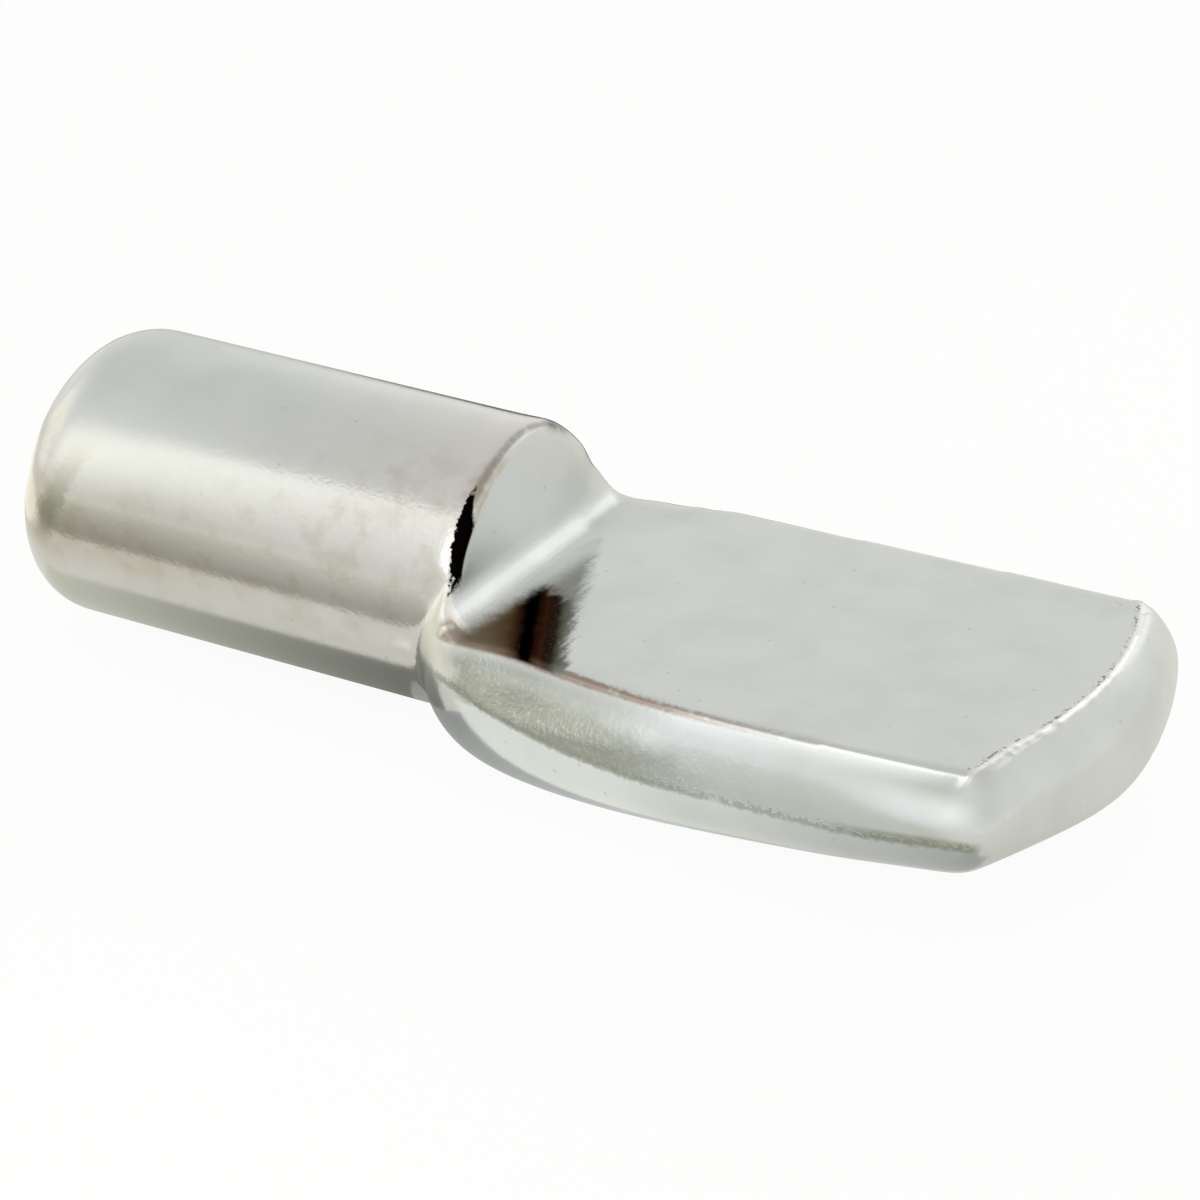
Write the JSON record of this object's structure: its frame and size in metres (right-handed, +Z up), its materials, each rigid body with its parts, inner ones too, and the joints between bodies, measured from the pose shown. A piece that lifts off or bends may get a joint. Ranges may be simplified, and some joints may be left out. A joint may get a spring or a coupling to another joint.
{
  "type": "shelf support pin",
  "caption": "Spoon-type shelf support: a round steel pin whose far end is pressed into a wide flat rest, with a square shoulder and a swollen underside.",
  "frame": {"origin": "on the pin's axis, in the plane where the swelling meets the pin's sides and stops it in its hole", "axes": "+X from the pin toward the spoon's tip, +Z up from the flat that carries the shelf, +Y across"},
  "size_m": [0.0247, 0.0094, 0.0064],
  "materials": {
    "nickel_plate": "bright nickel plate over cold-pressed steel, with faint orange peel and a rough burr at the tip"
  },
  "bodies": {
    "root": {"shelf_pin": "nickel_plate"}
  },
  "joints": []
}
